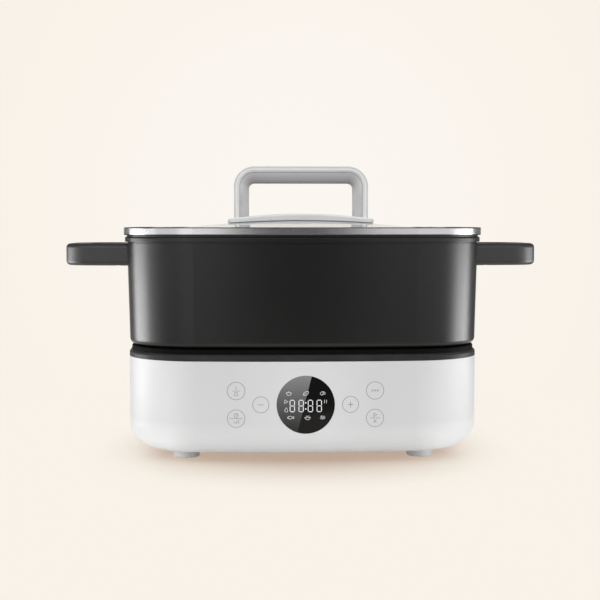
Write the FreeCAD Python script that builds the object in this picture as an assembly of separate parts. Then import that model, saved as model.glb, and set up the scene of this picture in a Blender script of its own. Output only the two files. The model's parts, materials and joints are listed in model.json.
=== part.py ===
import FreeCAD, Part
import math
import os

V = FreeCAD.Vector
UP = V(0, 0, 1)
BACK = V(0, 1, 0)

# Electric hot pot: a base with touch keys and a heating plate, a lift-off pot and a lift-off glass lid.
# Millimetres. +Z is up, the controls face -Y, the origin is on the table under the middle of the base.

# ---- The outline that base, pot and lid share: four bowed sides with tangent round corners ----
outline_width = 285.4
outline_depth = 224.0
outline_corner_radius = 61.0
front_bow_radius = 880.0
side_bow_radius = 1500.0

# ---- Heights of the main levels ----
foot_height = 8.0
base_height = 74.2
deck_height = 5.4
pot_gap = 4.4
pot_wall_height = 82.8
pot_lip_height = 4.1
lid_seat_height = 1.3
rim_height = 6.3

base_bottom = foot_height
seam = base_bottom + base_height
deck_top = seam + deck_height
pot_bottom = deck_top + pot_gap
pot_lip_bottom = pot_bottom + pot_wall_height
pot_lip_top = pot_lip_bottom + pot_lip_height
lid_seat = pot_lip_top + lid_seat_height
rim_top = lid_seat + rim_height

# ---- Base shell and bottom cover ----
shell_wall = 2.8
shell_bottom_radius = 20.0
shell_bottom_thickness = 4.0
cover_thickness = 2.0
cover_inset = 24.0
cover_ledge = 5.0
cover_clearance = 0.2
vent_count = 7
vent_pitch = 9.0
vent_width = 3.0
vent_length = 46.0
vent_from_front = 64.0
foot_from_side = 47.7
foot_from_front = 51.0
foot_radius = 10.3
foot_edge_radius = 1.5
foot_stem_radius = 4.0
foot_barb_radius = 5.2
foot_barb_tip_radius = 3.0
foot_barb_height = 2.0

# ---- Deck on top of the base ----
deck_edge_radius = 2.5
deck_ledge_inset = 2.0
deck_ledge_width = 8.0
deck_ledge_gap = 0.6
deck_ledge_radius = 1.4
deck_recess = 1.5
deck_wall = 3.0
deck_skirt_clearance = 0.2
deck_skirt_wall = 2.2
deck_skirt_depth = 5.5
collar_wall = 3.0
collar_rise = 2.2
post_from_side = 36.5
post_from_front = 68.0
post_radius = 5.0
cup_height = 6.0
cup_depth = 3.0
cup_wall = 1.8
housing_screw_bite = 14.0

# ---- Heating plate, its seal, element and heat pan ----
plate_radius = 86.0
plate_centre_hole = 16.0
plate_thickness = 14.4
plate_flange_width = 7.0
plate_flange_thickness = 2.5
plate_edge_radius = 1.5
plate_pocket_depth = 6.0
plate_pocket_rim = 5.0
plate_pocket_wall = 4.5
plate_seat_depth = 1.5
plate_seat_clearance = 1.2
seal_gap = 2.0
seal_below_collar = 0.6
element_inset = 28.5
element_tube_radius = 4.0
element_embed = 2.2
element_open_angle = 56.0
element_terminal_radius = 1.6
element_terminal_length = 12.0
element_leg_drop = 9.0
pan_sheet = 1.0
pan_bowl_inset = 3.0
pan_flange_margin = 2.0
pan_floor_clearance = 1.7
pan_corner_radius = 6.0
pan_screw_offset = 4.5
pan_ear_radius = 5.5
pan_boss_radius = 4.0
pan_screw_length = 6.0
pan_lead_hole_radius = 9.0
cutout_radius = 7.8
cutout_height = 7.5
cutout_recess = 1.5
cutout_fit = 0.4
cutout_hub_wall = 9.0
cutout_tab = (0.8, 5.0)
cutout_tab_length = 6.5
cutout_tab_spacing = 7.0
fuse_radius = 2.6
fuse_length = 28.0
fuse_cover = 0.8
fuse_clip = (9.0, 18.0)
fuse_clip_height = 3.2

# ---- Sprung temperature sensor in the middle of the plate ----
sensor_cap_gap = 1.5
sensor_cap_wall = 1.2
sensor_cap_top = 3.0
sensor_cap_depth = 9.0
sensor_cap_edge = 0.8
sensor_travel = 2.5
sensor_stem_radius = 3.0
sensor_running_clearance = 0.08
sensor_bracket_sheet = 1.2
sensor_bracket_drop = 13.4
sensor_bracket_width = 16.0
sensor_bracket_gap = 2.5
sensor_tab_length = 10.0
sensor_screw_length = 7.0
sensor_stem_overrun = 3.4
sensor_clip_radius = 5.0
sensor_clip_thickness = 0.8
spring_radius = 8.0
spring_wire_radius = 0.6
spring_turns = 5
spring_spans = 12
spring_wire_sides = 8

# ---- Control panel behind the front wall ----
display_above_base = 40.6
display_radius = 22.65
display_fit = 0.1
display_flange_width = 2.5
display_flange_thickness = 1.0
key_column_x = 54.2
key_row_offset = 10.8
adjust_key_x = 35.0
key_pad_radius = 5.5
panel_board_width = 132.0
panel_board_height = 46.0
board_thickness = 1.6
panel_board_gap = 13.0
led_module_width = 38.0
led_module_height = 24.0
panel_boss_margin_x = 5.0
panel_boss_margin_z = 5.0
panel_boss_radius = 3.6
panel_screw_length = 7.0

# ---- Power board and what stands on it ----
power_board_width = 104.0
power_board_depth = 64.0
power_board_from_rear = 78.0
power_board_margin = 6.0
power_board_screw_length = 8.0
standoff_height = 10.0
standoff_radius = 3.6
relay_size = (19.0, 15.5, 15.8)
relay_place = (34.0, -14.0)
transformer_size = (30.0, 24.0, 22.0)
transformer_place = (-22.0, -8.0)
connector_size = (24.0, 9.0, 11.0)
connector_place = (14.0, 18.0)
capacitor_radius = 6.5
capacitor_height = 20.0
capacitor_place = (6.0, -14.0)
board_part_edge = 0.8

# ---- Mains inlet in the rear wall ----
inlet_above_base = 28.0
inlet_flange = (34.0, 26.0)
inlet_flange_thickness = 1.6
inlet_body = (28.0, 20.0)
inlet_depth = 24.0
inlet_socket = (24.4, 16.4)
inlet_socket_depth = 17.0
inlet_fit = 0.2
inlet_pin = (2.0, 4.0)
inlet_pin_length = 14.0
inlet_pin_spacing = 14.0
inlet_earth_offset = 4.0
inlet_tab_length = 6.0

# ---- Pot ----
pot_bottom_grow = -0.55
pot_top_grow = 1.65
pot_lip_grow = 3.35
pot_seat_grow = 1.8
pot_wall = 3.0
pot_bottom_wall = 3.5
pot_floor = 4.6
pot_bottom_radius = 5.0
pot_inner_radius = 12.0
pot_lip_radius = 1.2
pot_lip_lower_radius = 0.4
pot_groove_height = 1.1
pot_groove_depth = 0.7

# ---- Side handles ----
side_handle_reach = 52.5
side_handle_below_lip = 19.8
side_handle_height = 18.0
side_handle_root_half = 50.0
side_handle_end_half = 41.0
side_handle_corner = 25.0
side_handle_edge = 3.6
grip_thickness = 16.5
grip_web = 9.0
grip_opening_root_half = 33.0
grip_opening_end_half = 27.0
grip_opening_corner = 9.0
grip_opening_edge = 2.5
lug_length = 13.0
lug_width = 9.0
lug_height = 8.0
lug_y = 41.5
lug_clearance = 0.15
side_screw_recess = 0.6

# ---- Lid: glass, steel rim ----
rim_grow = 4.4
rim_sheet = 0.8
rim_edge_radius = 1.0
rim_cover = 3.7
skirt_clearance = 0.6
skirt_depth = 7.0
glass_thickness = 3.8
dome_rise = 6.3
dome_radius = 840.0
dome_blend_radius = 80.0

# ---- Lid handle ----
gasket_thickness = 0.6
gasket_inset = 1.0
handle_plate_length = 125.0
handle_plate_depth = 34.0
handle_plate_thickness = 5.4
handle_plate_crown_radius = 435.0
handle_plate_edge = 1.6
arch_width = 113.6
arch_top_above_plate = 39.8
arch_depth = 22.0
arch_leg = 12.6
arch_bar = 14.3
arch_band = 4.2
arch_outer_radius = 17.0
arch_band_radius = 12.8
arch_inner_radius = 4.6
arch_edge_radius = 1.6
arch_inner_edge_radius = 5.0
arch_slope_depth = 6.0
lid_screw_length = 24.0
glass_hole_radius = 4.0
washer_radius = 8.0
washer_thickness = 1.2
grommet_thickness = 1.0
grommet_flange = 1.5

# ---- Screws: (shaft radius, head radius, head height) ----
m4_screw = (2.0, 3.8, 2.4)
m3_screw = (1.5, 2.9, 1.9)
screw_clearance = 0.25
pilot_spare = 0.5

# ---- Construction: how far a cutting solid runs past its face, and the least distance told apart ----
over = 1.0
touch = 0.01


# ---------------------------------------------------------------- helpers
def corner_centre():
    """Centre of the round corner at +X, -Y, tangent inside to the front bow and the side bow."""
    front = V(0, front_bow_radius - outline_depth / 2, 0)
    side = V(outline_width / 2 - side_bow_radius, 0, 0)
    reach_front = front_bow_radius - outline_corner_radius
    reach_side = side_bow_radius - outline_corner_radius
    apart = side - front
    length = apart.Length
    along = (reach_front ** 2 - reach_side ** 2 + length ** 2) / (2 * length)
    across = math.sqrt(reach_front ** 2 - along ** 2)
    unit = apart * (1 / length)
    return front + unit * along + V(-unit.y, unit.x, 0) * across, front, side


def outline(grow, z):
    """Closed wire of the shared outline at height z, moved outwards by grow all round."""
    centre, front, side = corner_centre()
    radius = outline_corner_radius + grow
    to_front = (centre - front).normalize()
    to_side = (centre - side).normalize()
    front_end = centre + to_front * radius
    side_end = centre + to_side * radius
    middle = centre + (to_front + to_side).normalize() * radius
    half_width = outline_width / 2 + grow
    half_depth = outline_depth / 2 + grow

    def at(point, sx, sy):
        return V(point.x * sx, point.y * sy, z)

    edges = []
    for sx, sy in ((1, 1), (1, -1), (-1, -1), (-1, 1)):
        corner = [at(front_end, sx, sy), at(middle, sx, sy), at(side_end, sx, sy)]
        if sx != sy:
            corner.reverse()
        edges.append(Part.Arc(*corner).toShape())
        if sx == sy:
            bow = [corner[2], V(half_width * sx, 0, z), at(side_end, sx, -sy)]
        else:
            bow = [corner[2], V(0, -half_depth * sy, z), at(front_end, -sx, sy)]
        edges.append(Part.Arc(*bow).toShape())
    return Part.Wire(edges)


def slab(grow, low, high):
    """Upright solid on the shared outline."""
    return Part.Face(outline(grow, low)).extrude(UP * (high - low))


def taper(low_grow, low, high_grow, high):
    """Solid whose outline grows evenly from one height to another."""
    return Part.makeLoft([outline(low_grow, low), outline(high_grow, high)], True, True)


def flat_edges(shape, z):
    """Edges that lie at one height."""
    return [e for e in shape.Edges if abs(e.BoundBox.ZMin - z) < touch and abs(e.BoundBox.ZMax - z) < touch]


def upright_edges(shape):
    """Straight edges that run along Z."""
    found = []
    for edge in shape.Edges:
        if edge.BoundBox.ZLength > touch and edge.BoundBox.XLength < touch and edge.BoundBox.YLength < touch:
            found.append(edge)
    return found


def rod(radius, low, high, x=0.0, y=0.0):
    """Round solid along Z."""
    return Part.makeCylinder(radius, high - low, V(x, y, low), UP)


def rod_back(radius, front, back, x, z):
    """Round solid along Y, from front to back."""
    return Part.makeCylinder(radius, back - front, V(x, front, z), BACK)


def ring(inner, outer, low, high, x=0.0, y=0.0):
    """Round solid along Z with a round hole."""
    return rod(outer, low, high, x, y).cut(rod(inner, low - over, high + over, x, y))


def block(width, depth, low, high, x=0.0, y=0.0):
    """Box on a centre line along Z."""
    return Part.makeBox(width, depth, high - low, V(x - width / 2, y - depth / 2, low))


def prism(points, low, high):
    """Upright solid on a polygon of (x, y) points."""
    corners = [V(x, y, low) for x, y in points]
    return Part.Face(Part.makePolygon(corners + corners[:1])).extrude(UP * (high - low))


def spun(points):
    """Solid of revolution about Z of a polygon of (radius, z) points."""
    corners = [V(r, 0, z) for r, z in points]
    return Part.Face(Part.makePolygon(corners + corners[:1])).revolve(V(0, 0, 0), UP, 360)


def joined(first, *others):
    """One solid from several that meet."""
    return first.fuse(list(others)).removeSplitter()


def four_ways(x, y):
    """The four mirror places of a point."""
    return [(sx * x, sy * y) for sy in (-1, 1) for sx in (-1, 1)]


def screw_up(size, seat, length, x, y):
    """Screw whose head hangs under the seat height and whose shaft points up."""
    shaft, head, head_height = size
    return joined(rod(head, seat - head_height, seat, x, y), rod(shaft, seat, seat + length, x, y))


def screw_down(size, seat, length, x, y):
    """Screw whose head stands on the seat height and whose shaft points down."""
    shaft, head, head_height = size
    return joined(rod(head, seat, seat + head_height, x, y), rod(shaft, seat - length, seat, x, y))


def save(node, *solids):
    """Write one named piece, or a group of identical pieces."""
    shape = solids[0] if len(solids) == 1 else Part.makeCompound(list(solids))
    shape.exportStep("parts/" + node + ".step")


# ---------------------------------------------------------------- levels that several pieces share
cover_bottom = base_bottom
cover_top = cover_bottom + cover_thickness
ledge_top = pot_bottom - deck_ledge_gap
deck_field = deck_top - deck_recess
deck_underside = deck_field - deck_wall
plate_top = pot_bottom + plate_seat_depth
plate_bottom = plate_top - plate_thickness
plate_flange_radius = plate_radius + plate_flange_width
flange_top = plate_bottom + plate_flange_thickness
deck_opening = plate_radius + seal_gap
element_ring_radius = plate_radius - element_inset
front_face = -outline_depth / 2
rear_face = outline_depth / 2
foot_x = outline_width / 2 - foot_from_side
foot_y = outline_depth / 2 - foot_from_front
post_x = outline_width / 2 - post_from_side
post_y = outline_depth / 2 - post_from_front
post_bottom = cover_top + cup_height
cup_radius = m4_screw[1] + screw_clearance + cup_wall
screw_seat = cover_top + cup_depth
front_wall_inside = front_face + shell_wall
display_centre_height = base_bottom + display_above_base
inlet_height = base_bottom + inlet_above_base
panel_board_front = front_face + panel_board_gap
panel_board_back = panel_board_front + board_thickness
power_board_centre_y = rear_face - power_board_from_rear
power_board_bottom = cover_top + standoff_height
power_board_top = power_board_bottom + board_thickness
sensor_cap_radius = plate_centre_hole - sensor_cap_gap
sensor_bracket_half_span = plate_centre_hole + sensor_bracket_gap
sensor_screw_x = sensor_bracket_half_span + sensor_bracket_sheet + sensor_tab_length / 2
bracket_floor = plate_bottom - sensor_bracket_drop
bracket_floor_top = bracket_floor + sensor_bracket_sheet
stem_end = bracket_floor - sensor_stem_overrun
pan_floor_top = stem_end - sensor_travel - pan_floor_clearance
glass_top = rim_top - rim_sheet
glass_bottom = glass_top - glass_thickness
glass_grow = rim_grow - rim_sheet
dome_top = glass_top + dome_rise
handle_plate_top = dome_top + gasket_thickness + handle_plate_thickness
arch_top = handle_plate_top + arch_top_above_plate
pot_side = outline_width / 2 + pot_top_grow
side_handle_bottom = pot_lip_bottom - side_handle_below_lip
leg_centre = arch_width / 2 - arch_leg / 2


# ---------------------------------------------------------------- base shell and bottom
def panel_bosses():
    """Places of the four bosses that carry the panel board, as (x, z)."""
    x = panel_board_width / 2 - panel_boss_margin_x
    dz = panel_board_height / 2 - panel_boss_margin_z
    return [(px, display_centre_height + pz) for px, pz in four_ways(x, dz)]


def shell_room(inset):
    """Space inside the shell, or one layer further in."""
    floor = base_bottom + shell_bottom_thickness + inset
    room = slab(-shell_wall - inset, floor, seam + over)
    return room.makeFillet(shell_bottom_radius - shell_wall - inset, flat_edges(room, floor))


def base_shell():
    """White one-piece shell with a large bottom radius, window hole, inlet hole and board bosses."""
    outer = slab(0, base_bottom, seam)
    outer = outer.makeFillet(shell_bottom_radius, flat_edges(outer, base_bottom))
    floor = base_bottom + shell_bottom_thickness
    shell = outer.cut(shell_room(0))
    shell = shell.cut(slab(-cover_inset + cover_clearance, base_bottom - over, cover_top))
    shell = shell.cut(slab(-cover_inset - cover_ledge, base_bottom - over, floor + over))
    for x, z in panel_bosses():
        boss = rod_back(panel_boss_radius, front_face, panel_board_front, x, z)
        shell = shell.fuse(boss.common(outer))
    pilot_end = panel_board_back - panel_screw_length - pilot_spare
    for x, z in panel_bosses():
        shell = shell.cut(rod_back(m3_screw[0], pilot_end, panel_board_front + over, x, z))
    window = rod_back(display_radius + display_fit, front_face - over, front_wall_inside + over, 0,
                      display_centre_height)
    shell = shell.cut(window)
    return shell.cut(inlet_cutout()).removeSplitter()


def inlet_box(size, front, back, grow):
    """Box on the inlet's centre line, from one depth to another."""
    width = size[0] + 2 * grow
    height = size[1] + 2 * grow
    corner = V(-width / 2, front, inlet_height - height / 2)
    return Part.makeBox(width, back - front, height, corner)


def inlet_cutout():
    """Hole in the rear wall with a shallow recess for the inlet's flange."""
    recess = inlet_box(inlet_flange, rear_face - inlet_flange_thickness, rear_face + over, inlet_fit)
    hole = inlet_box(inlet_body, rear_face - 2 * shell_wall, rear_face, inlet_fit)
    return recess.fuse(hole)


def inlet_body_solid():
    """Inlet housing: flange flush with the rear wall and a socket with two cut corners."""
    flange_front = rear_face - inlet_flange_thickness
    flange = inlet_box(inlet_flange, flange_front, rear_face, 0).common(slab(0, base_bottom, seam))
    body = joined(flange, inlet_box(inlet_body, rear_face - inlet_depth, flange_front, 0))
    half_w = inlet_socket[0] / 2
    half_h = inlet_socket[1] / 2
    cut = half_h / 2
    low = inlet_height - half_h
    high = inlet_height + half_h
    start = rear_face - inlet_socket_depth
    corners = [(-half_w, low), (half_w, low), (half_w, high - cut), (half_w - cut, high),
               (cut - half_w, high), (-half_w, high - cut)]
    points = [V(x, start, z) for x, z in corners]
    socket = Part.Face(Part.makePolygon(points + points[:1])).extrude(BACK * (inlet_socket_depth + over))
    return body.cut([socket] + inlet_pins())


def inlet_pins():
    """Three flat pins that stand in the socket and end as tabs behind it."""
    places = [(-inlet_pin_spacing / 2, 0), (inlet_pin_spacing / 2, 0), (0, inlet_earth_offset)]
    pins = []
    floor = rear_face - inlet_socket_depth
    tab = rear_face - inlet_depth - inlet_tab_length
    for x, dz in places:
        corner = V(x - inlet_pin[0] / 2, tab, inlet_height + dz - inlet_pin[1] / 2)
        pins.append(Part.makeBox(inlet_pin[0], floor + inlet_pin_length - tab, inlet_pin[1], corner))
    return pins


def bottom_cover():
    """Cover plate that closes the base from below, with vents, screw cups, standoffs and foot holes."""
    cover = slab(-cover_inset, cover_bottom, cover_top)
    for x, y in four_ways(post_x, post_y):
        cover = cover.fuse(rod(cup_radius, cover_bottom, post_bottom, x, y))
    for x, y in power_board_corners():
        cover = cover.fuse(rod(standoff_radius, cover_bottom, power_board_bottom, x, y))
    for x, y in four_ways(post_x, post_y):
        cover = cover.cut(rod(m4_screw[1] + screw_clearance, cover_bottom - over, screw_seat, x, y))
        cover = cover.cut(rod(m4_screw[0] + screw_clearance, screw_seat, post_bottom + over, x, y))
    pilot_end = power_board_top - power_board_screw_length - pilot_spare
    for x, y in power_board_corners():
        cover = cover.cut(rod(m3_screw[0], pilot_end, power_board_bottom + over, x, y))
    for x, y in four_ways(foot_x, foot_y):
        cover = cover.cut(rod(foot_stem_radius, cover_bottom - over, cover_top + over, x, y))
    vent_y = front_face + vent_from_front
    for index in range(vent_count):
        x = (index - (vent_count - 1) / 2) * vent_pitch
        vent = block(vent_width, vent_length, cover_bottom - over, cover_top + over, x, vent_y)
        cover = cover.cut(vent.makeFillet(vent_width / 2 - touch, upright_edges(vent)))
    return cover.removeSplitter()


def foot(x, y):
    """Soft foot: round pad with a stem that snaps through the cover."""
    pad = rod(foot_radius, 0, cover_bottom, x, y)
    pad = pad.makeFillet(foot_edge_radius, flat_edges(pad, 0))
    stem = rod(foot_stem_radius, cover_bottom, cover_top, x, y)
    barb = Part.makeCone(foot_barb_radius, foot_barb_tip_radius, foot_barb_height, V(x, y, cover_top), UP)
    return joined(pad, stem, barb)


def housing_screws():
    """Four screws that go up through the cover's cups into the deck's posts."""
    length = post_bottom + housing_screw_bite - screw_seat
    return [screw_up(m4_screw, screw_seat, length, x, y) for x, y in four_ways(post_x, post_y)]


# ---------------------------------------------------------------- deck, plate, element and pan
def pan_screw_places():
    """Places of the four pan screws, between the deck's posts."""
    reach = (plate_flange_radius + pan_screw_offset) * math.sqrt(0.5)
    return four_ways(reach, reach)


def cooking_deck():
    """Black deck: round-edged band, ledge close under the pot, field, collar, skirt, posts, bosses."""
    deck = slab(0, seam, deck_top)
    deck = deck.makeFillet(deck_edge_radius, flat_edges(deck, deck_top))
    ledge = slab(-deck_ledge_inset, deck_field, ledge_top)
    ledge = ledge.makeFillet(deck_ledge_radius, flat_edges(ledge, ledge_top))
    deck = deck.fuse(ledge).cut(slab(-deck_ledge_inset - deck_ledge_width, deck_field, ledge_top + over))
    skirt_grow = -shell_wall - deck_skirt_clearance
    inside = slab(skirt_grow - deck_skirt_wall, seam - deck_skirt_depth - over, deck_underside)
    skirt = slab(skirt_grow, seam - deck_skirt_depth, seam)
    deck = deck.fuse(skirt).cut(inside)
    deck = deck.fuse(rod(deck_opening + collar_wall, deck_underside, deck_top + collar_rise))
    for x, y in four_ways(post_x, post_y):
        deck = deck.fuse(rod(post_radius, post_bottom, deck_underside + touch, x, y))
        pilot_end = post_bottom + housing_screw_bite + pilot_spare
        deck = deck.cut(rod(m4_screw[0], post_bottom - over, pilot_end, x, y))
    for x, y in pan_screw_places():
        deck = deck.fuse(rod(pan_boss_radius, plate_bottom, deck_underside + touch, x, y))
        pilot_end = plate_bottom - pan_sheet + pan_screw_length + pilot_spare
        deck = deck.cut(rod(m3_screw[0], plate_bottom - over, pilot_end, x, y))
    return deck.cut(rod(deck_opening, plate_bottom, deck_top + collar_rise + over)).removeSplitter()


def heating_plate():
    """Cast plate: clamping flange, ring pocket, recess for the cutout, element groove, centre hole."""
    pocket_low, pocket_high = outer_pocket()
    plate = rod(plate_radius, plate_bottom, plate_top)
    plate = plate.makeFillet(plate_edge_radius, flat_edges(plate, plate_top))
    plate = plate.fuse(rod(plate_flange_radius, plate_bottom, flange_top))
    plate = plate.cut(ring(pocket_low, pocket_high, plate_bottom - over, plate_bottom + plate_pocket_depth))
    plate = plate.cut(rod(plate_centre_hole, plate_bottom - over, plate_top + over))
    recess_radius = cutout_radius + cutout_fit
    plate = plate.cut(rod(recess_radius, plate_bottom - over, plate_bottom + cutout_recess, 0, cutout_y()))
    plate = plate.cut(element_solid())
    pilot_end = plate_bottom - sensor_bracket_sheet + sensor_screw_length + pilot_spare
    for x in (-sensor_screw_x, sensor_screw_x):
        plate = plate.cut(rod(m3_screw[0], plate_bottom - over, pilot_end, x, 0))
    return plate.removeSplitter()


def outer_pocket():
    """Inner and outer radius of the ring pocket outside the element."""
    return element_ring_radius + element_tube_radius + plate_pocket_wall, plate_radius - plate_pocket_rim


def cutout_y():
    """Place of the thermal cutout in front of the centre hole."""
    return -plate_centre_hole - cutout_hub_wall - cutout_radius


def element_solid():
    """Open ring of tube with two legs that turn down towards the terminals."""
    level = plate_bottom + element_embed
    start = math.radians(90 + element_open_angle / 2)
    sweep = 360 - element_open_angle
    first = V(element_ring_radius * math.cos(start), element_ring_radius * math.sin(start), level)
    tangent = V(-math.sin(start), math.cos(start), 0)
    section = Part.Face(Part.Wire(Part.makeCircle(element_tube_radius, first, tangent)))
    solid = section.revolve(V(0, 0, 0), UP, sweep)
    for x in (-abs(first.x), abs(first.x)):
        leg = rod(element_tube_radius, level - element_leg_drop, level, x, first.y)
        knee = Part.makeSphere(element_tube_radius, V(x, first.y, level))
        solid = solid.fuse(leg).fuse(knee)
    return solid.removeSplitter()


def heating_element():
    """Tubular element with a terminal pin at the end of each leg."""
    solid = element_solid()
    low = plate_bottom + element_embed - element_leg_drop
    for x, y in element_leg_places():
        solid = solid.fuse(rod(element_terminal_radius, low - element_terminal_length, low, x, y))
    return solid.removeSplitter()


def element_leg_places():
    """Places of the element's two legs."""
    start = math.radians(90 + element_open_angle / 2)
    x = abs(element_ring_radius * math.cos(start))
    y = element_ring_radius * math.sin(start)
    return [(-x, y), (x, y)]


def plate_seal():
    """Soft ring of L section between plate, flange and deck opening."""
    top = deck_top + collar_rise - seal_below_collar
    outer = plate_flange_radius
    return spun([(plate_radius, flange_top), (outer, flange_top), (outer, deck_underside),
                 (deck_opening, deck_underside), (deck_opening, top), (plate_radius, top)])


def heat_pan():
    """Pressed pan with four screw ears that clamps the plate's flange up against the deck."""
    top = plate_bottom
    low = pan_floor_top - pan_sheet
    bowl_radius = plate_radius - pan_bowl_inset
    flange_radius = plate_flange_radius + pan_flange_margin
    outer = joined(rod(bowl_radius, low, top), rod(flange_radius, top - pan_sheet, top))
    for x, y in pan_screw_places():
        outer = joined(outer, rod(pan_ear_radius, top - pan_sheet, top, x, y))
    outer = outer.makeFillet(pan_corner_radius, flat_edges(outer, low))
    bowl = rod(bowl_radius - pan_sheet, pan_floor_top, top + over)
    bowl = bowl.makeFillet(pan_corner_radius - pan_sheet, flat_edges(bowl, pan_floor_top))
    pan = outer.cut(bowl)
    for x, y in pan_screw_places():
        pan = pan.cut(rod(m3_screw[0] + screw_clearance, top - 2 * pan_sheet, top + over, x, y))
    for x, y in element_leg_places():
        pan = pan.cut(rod(pan_lead_hole_radius, low - over, low + pan_sheet + over, x, y))
    return pan


def heat_pan_screws():
    """Four screws that hold the pan to the deck's bosses."""
    seat = plate_bottom - pan_sheet
    return [screw_up(m3_screw, seat, pan_screw_length, x, y) for x, y in pan_screw_places()]


def thermal_cutout():
    """Snap-disc cutout seated in the plate's round recess, with two tabs."""
    roof = plate_bottom + cutout_recess
    low = roof - cutout_height
    thickness, width = cutout_tab
    body = rod(cutout_radius, low, roof, 0, cutout_y())
    for x in (-cutout_tab_spacing / 2, cutout_tab_spacing / 2):
        body = body.fuse(block(thickness, width, low - cutout_tab_length, low, x, cutout_y()))
    return body.removeSplitter()


def thermal_fuse():
    """Fuse tube in a clip that lies on the roof of the ring pocket."""
    roof = plate_bottom + plate_pocket_depth
    middle = sum(outer_pocket()) / 2
    width, length = fuse_clip
    clip = block(width, length, roof - fuse_clip_height, roof, middle, 0)
    tube = rod_back(fuse_radius, -fuse_length / 2, fuse_length / 2, middle, roof - fuse_cover - fuse_radius)
    return joined(clip, tube)


# ---------------------------------------------------------------- sensor
def sensor_bracket():
    """Hat-shaped strap under the plate that guides the sensor's stem and carries its spring."""
    sheet = sensor_bracket_sheet
    half = sensor_bracket_half_span
    width = sensor_bracket_width
    hole_radius = m3_screw[0] + screw_clearance
    strap = block(2 * (half + sheet), width, bracket_floor, bracket_floor_top)
    for side in (-1, 1):
        wall = block(sheet, width, bracket_floor, plate_bottom, side * (half + sheet / 2), 0)
        tab_x = side * (half + sheet + sensor_tab_length / 2)
        tab = block(sensor_tab_length, width, plate_bottom - sheet, plate_bottom, tab_x, 0)
        strap = joined(strap, wall, tab)
        strap = strap.cut(rod(hole_radius, plate_bottom - 2 * sheet, plate_bottom + over, tab_x, 0))
    guide = sensor_stem_radius + sensor_running_clearance
    return strap.cut(rod(guide, bracket_floor - over, bracket_floor_top + over))


def sensor_bracket_screws():
    """Two screws that hold the strap to the plate."""
    seat = plate_bottom - sensor_bracket_sheet
    return [screw_up(m3_screw, seat, sensor_screw_length, x, 0) for x in (-sensor_screw_x, sensor_screw_x)]


def sensor_cap():
    """Cap that presses on the pot's underside, with its stem through the strap."""
    low = plate_top - sensor_cap_depth
    cap = rod(sensor_cap_radius, low, plate_top)
    cap = cap.makeFillet(sensor_cap_edge, flat_edges(cap, plate_top))
    cap = cap.cut(rod(sensor_cap_radius - sensor_cap_wall, low - over, plate_top - sensor_cap_top))
    return joined(cap, rod(sensor_stem_radius, stem_end, plate_top - sensor_cap_top))


def sensor_clip():
    """Retaining ring at the end of the stem."""
    return ring(sensor_stem_radius, sensor_clip_radius, stem_end, stem_end + sensor_clip_thickness)


def sensor_spring():
    """Coil spring between the strap and the cap: short straight-ruled spans along a helix."""
    low = bracket_floor_top + spring_wire_radius
    high = plate_top - sensor_cap_top - spring_wire_radius
    pitch = (high - low) / spring_turns
    sections = []
    for step in range(spring_turns * spring_spans + 1):
        angle = 2 * math.pi * step / spring_spans
        outward = V(math.cos(angle), math.sin(angle), 0)
        along = V(-math.sin(angle), math.cos(angle), pitch / (2 * math.pi * spring_radius)).normalize()
        across = outward.cross(along)
        centre = outward * spring_radius + V(0, 0, low + pitch * step / spring_spans)
        corners = []
        for corner in range(spring_wire_sides):
            turn = 2 * math.pi * corner / spring_wire_sides
            corners.append(centre + (outward * math.cos(turn) + across * math.sin(turn)) * spring_wire_radius)
        sections.append(Part.makePolygon(corners + corners[:1]))
    return Part.makeLoft(sections, True, True)


# ---------------------------------------------------------------- control panel
def display_window():
    """Dark round window, flush with the bowed front, glued by a flange behind the wall."""
    front = front_face - over
    back = front_wall_inside + display_flange_thickness + over
    layer = slab(0, base_bottom, seam).cut(slab(-shell_wall, base_bottom, seam))
    behind = shell_room(0).cut(shell_room(display_flange_thickness))
    disc = rod_back(display_radius, front, back, 0, display_centre_height).common(layer)
    flange = rod_back(display_radius + display_flange_width, front, back, 0, display_centre_height)
    return joined(disc, flange.common(behind))


def panel_board():
    """Board behind the front wall, flat across the four bosses."""
    low = display_centre_height - panel_board_height / 2
    corner = V(-panel_board_width / 2, panel_board_front, low)
    board = Part.makeBox(panel_board_width, board_thickness, panel_board_height, corner)
    radius = m3_screw[0] + screw_clearance
    for x, z in panel_bosses():
        board = board.cut(rod_back(radius, panel_board_front - over, panel_board_back + over, x, z))
    return board


def panel_board_screws():
    """Four screws that hold the board to the bosses."""
    shaft, head, head_height = m3_screw
    seat = panel_board_back
    screws = []
    for x, z in panel_bosses():
        body = rod_back(shaft, seat - panel_screw_length, seat, x, z)
        screws.append(body.fuse(rod_back(head, seat, seat + head_height, x, z)).removeSplitter())
    return screws


def led_module():
    """Digit module between the board and the back of the window."""
    corner = V(-led_module_width / 2, front_face, display_centre_height - led_module_height / 2)
    box = Part.makeBox(led_module_width, panel_board_front - front_face, led_module_height, corner)
    return box.common(shell_room(display_flange_thickness))


def key_places():
    """Places of the six touch keys, as (x, z)."""
    keys = [(x, display_centre_height + dz) for x, dz in four_ways(key_column_x, key_row_offset)]
    return keys + [(x, display_centre_height) for x in (-adjust_key_x, adjust_key_x)]


def touch_pads():
    """Six conductive pads from the board to the inside of the front wall."""
    room = shell_room(0)
    pads = [rod_back(key_pad_radius, front_face, panel_board_front, x, z) for x, z in key_places()]
    return [pad.common(room) for pad in pads]


# ---------------------------------------------------------------- power board
def power_board_corners():
    """Places of the power board's four fixing holes."""
    x = power_board_width / 2 - power_board_margin
    y = power_board_depth / 2 - power_board_margin
    return [(px, power_board_centre_y + py) for px, py in four_ways(x, y)]


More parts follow.
